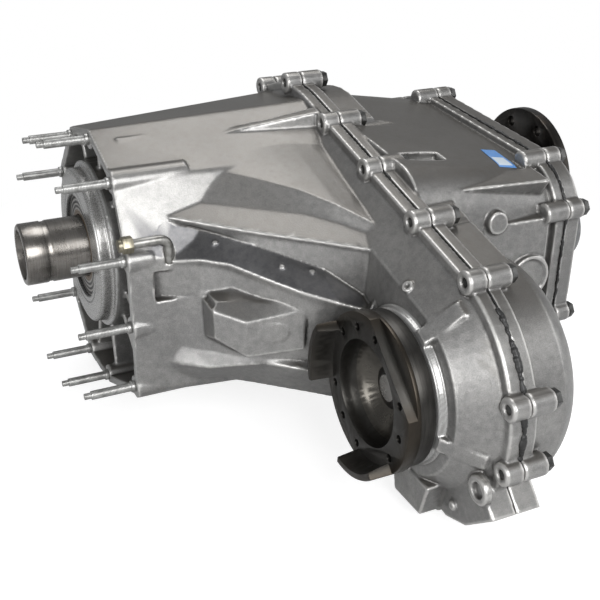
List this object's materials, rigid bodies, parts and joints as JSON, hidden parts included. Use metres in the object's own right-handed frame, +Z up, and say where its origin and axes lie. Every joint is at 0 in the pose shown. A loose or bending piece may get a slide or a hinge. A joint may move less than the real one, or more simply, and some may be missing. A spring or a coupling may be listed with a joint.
{
  "type": "transfer case",
  "caption": "Two-speed chain-drive vehicle transfer case with cast housing, splined input sleeve, rear flange output and offset front flange output.",
  "frame": {"origin": "on the main shaft's axis, in the plane of the face that bolts to the gearbox", "axes": "+X rearwards along the main shaft, +Z up, the front output lies towards -Y"},
  "size_m": [0.564, 0.5245, 0.3036],
  "materials": {
    "cast_case": "as-cast, matte, lightly stained",
    "black_sealant": "cured silicone bead",
    "zinc_steel": "zinc plated",
    "bright_steel": "ground",
    "gear_steel": "hardened, oiled",
    "fork_metal": "die-cast",
    "dark_flange": "black phosphate, slightly brown",
    "slinger_steel": "pressed sheet",
    "seal_rubber": "moulded on a steel cup",
    "black_plastic": "moulded",
    "vent_tube_steel": "plated tube",
    "brass_nut": "satin"
  },
  "bodies": {
    "case": {"front_case": "cast_case", "rear_case": "cast_case", "rear_cover": "cast_case", "front_seam_sealant": "black_sealant", "rear_seam_sealant": "black_sealant", "adapter_studs": "zinc_steel", "case_bolts": "zinc_steel", "cover_bolts": "zinc_steel", "locating_dowels": "zinc_steel", "input_bearing_outer_race": "bright_steel", "input_bearing_balls": "bright_steel", "input_seal": "seal_rubber", "ring_gear": "gear_steel", "shift_motor": "black_plastic", "motor_bolts": "zinc_steel", "drive_chain": "gear_steel", "oil_pump_housing": "cast_case", "oil_pickup_tube": "bright_steel", "oil_strainer": "bright_steel", "speed_sensor": "black_plastic", "rear_bearing_outer_and_balls": "bright_steel", "rear_output_seal": "seal_rubber", "front_bearing_outer_and_balls": "bright_steel", "tail_bearing": "bright_steel", "front_output_seal": "seal_rubber", "drain_plug": "zinc_steel", "fill_plug": "zinc_steel", "vent_elbow": "vent_tube_steel", "vent_cap": "brass_nut"},
    "main": {"main_shaft": "bright_steel", "mode_hub": "gear_steel", "drive_sprocket_bearing": "bright_steel", "oil_pump_rotor": "bright_steel", "tone_ring": "gear_steel", "rear_bearing_inner_race": "bright_steel", "rear_output_flange": "dark_flange", "rear_flange_nut": "dark_flange"},
    "input": {"input_shaft": "bright_steel", "input_bearing_inner_race": "bright_steel", "pilot_bearing": "bright_steel"},
    "carrier": {"planet_carrier": "gear_steel", "planet_pins": "bright_steel"},
    "planet_1": {"planet_gear_1": "gear_steel"},
    "planet_2": {"planet_gear_2": "gear_steel"},
    "planet_3": {"planet_gear_3": "gear_steel"},
    "planet_4": {"planet_gear_4": "gear_steel"},
    "range_collar": {"range_collar": "gear_steel"},
    "range_rail": {"shift_rail": "bright_steel", "range_fork": "fork_metal", "rail_follower": "gear_steel"},
    "mode_collar": {"mode_collar": "gear_steel"},
    "mode_fork": {"mode_fork": "fork_metal"},
    "drum": {"shift_drum": "gear_steel"},
    "sprocket": {"drive_sprocket": "gear_steel"},
    "front_output": {"front_output_shaft": "bright_steel", "driven_sprocket": "gear_steel", "front_bearing_inner_race": "bright_steel", "front_output_flange": "dark_flange", "front_flange_nut": "dark_flange", "front_slinger": "slinger_steel"}
  },
  "joints": [
    {"name": "main_spin", "type": "hinge", "parent": "case", "child": "main", "pos_m": [0, 0, 0], "axis": [1, 0, 0], "continuous": true},
    {"name": "input_spin", "type": "hinge", "parent": "case", "child": "input", "pos_m": [0, 0, 0], "axis": [1, 0, 0], "continuous": true},
    {"name": "carrier_spin", "type": "hinge", "parent": "case", "child": "carrier", "pos_m": [0, 0, 0], "axis": [1, 0, 0], "continuous": true},
    {"name": "sprocket_spin", "type": "hinge", "parent": "case", "child": "sprocket", "pos_m": [0, 0, 0], "axis": [1, 0, 0], "continuous": true},
    {"name": "front_output_spin", "type": "hinge", "parent": "case", "child": "front_output", "pos_m": [0, -0.27507, -0.049], "axis": [1, 0, 0], "continuous": true},
    {"name": "planet_1_spin", "type": "hinge", "parent": "carrier", "child": "planet_1", "pos_m": [0, 0.056, 0], "axis": [1, 0, 0], "continuous": true},
    {"name": "planet_2_spin", "type": "hinge", "parent": "carrier", "child": "planet_2", "pos_m": [0, 0, 0.056], "axis": [1, 0, 0], "continuous": true},
    {"name": "planet_3_spin", "type": "hinge", "parent": "carrier", "child": "planet_3", "pos_m": [0, -0.056, 0], "axis": [1, 0, 0], "continuous": true},
    {"name": "planet_4_spin", "type": "hinge", "parent": "carrier", "child": "planet_4", "pos_m": [0, 0, -0.056], "axis": [1, 0, 0], "continuous": true},
    {"name": "drum_turn", "type": "hinge", "parent": "case", "child": "drum", "pos_m": [0.31, -0.148, 0.004], "axis": [1, 0, 0], "range_deg": [0, 140]},
    {"name": "rail_slide", "type": "slide", "parent": "case", "child": "range_rail", "axis": [1, 0, 0], "range_m": [0, 0.022]},
    {"name": "range_collar_slide", "type": "slide", "parent": "main", "child": "range_collar", "axis": [1, 0, 0], "range_m": [0, 0.022]},
    {"name": "mode_collar_slide", "type": "slide", "parent": "main", "child": "mode_collar", "axis": [1, 0, 0], "range_m": [-0.012, 0]},
    {"name": "mode_fork_slide", "type": "slide", "parent": "case", "child": "mode_fork", "axis": [1, 0, 0], "range_m": [-0.012, 0]}
  ],
  "couplings": [
    {"joint": "input_spin", "follows": "main_spin", "ratio": 1},
    {"joint": "carrier_spin", "follows": "main_spin", "ratio": 0.375},
    {"joint": "sprocket_spin", "follows": "main_spin", "ratio": 1},
    {"joint": "front_output_spin", "follows": "main_spin", "ratio": 1},
    {"joint": "planet_1_spin", "follows": "main_spin", "ratio": -1.875},
    {"joint": "planet_2_spin", "follows": "main_spin", "ratio": -1.875},
    {"joint": "planet_3_spin", "follows": "main_spin", "ratio": -1.875},
    {"joint": "planet_4_spin", "follows": "main_spin", "ratio": -1.875},
    {"joint": "rail_slide", "follows": "drum_turn", "m_per_rad": 0.0090036},
    {"joint": "range_collar_slide", "follows": "drum_turn", "m_per_rad": 0.0090036},
    {"joint": "mode_fork_slide", "follows": "mode_collar_slide", "ratio": 1}
  ]
}
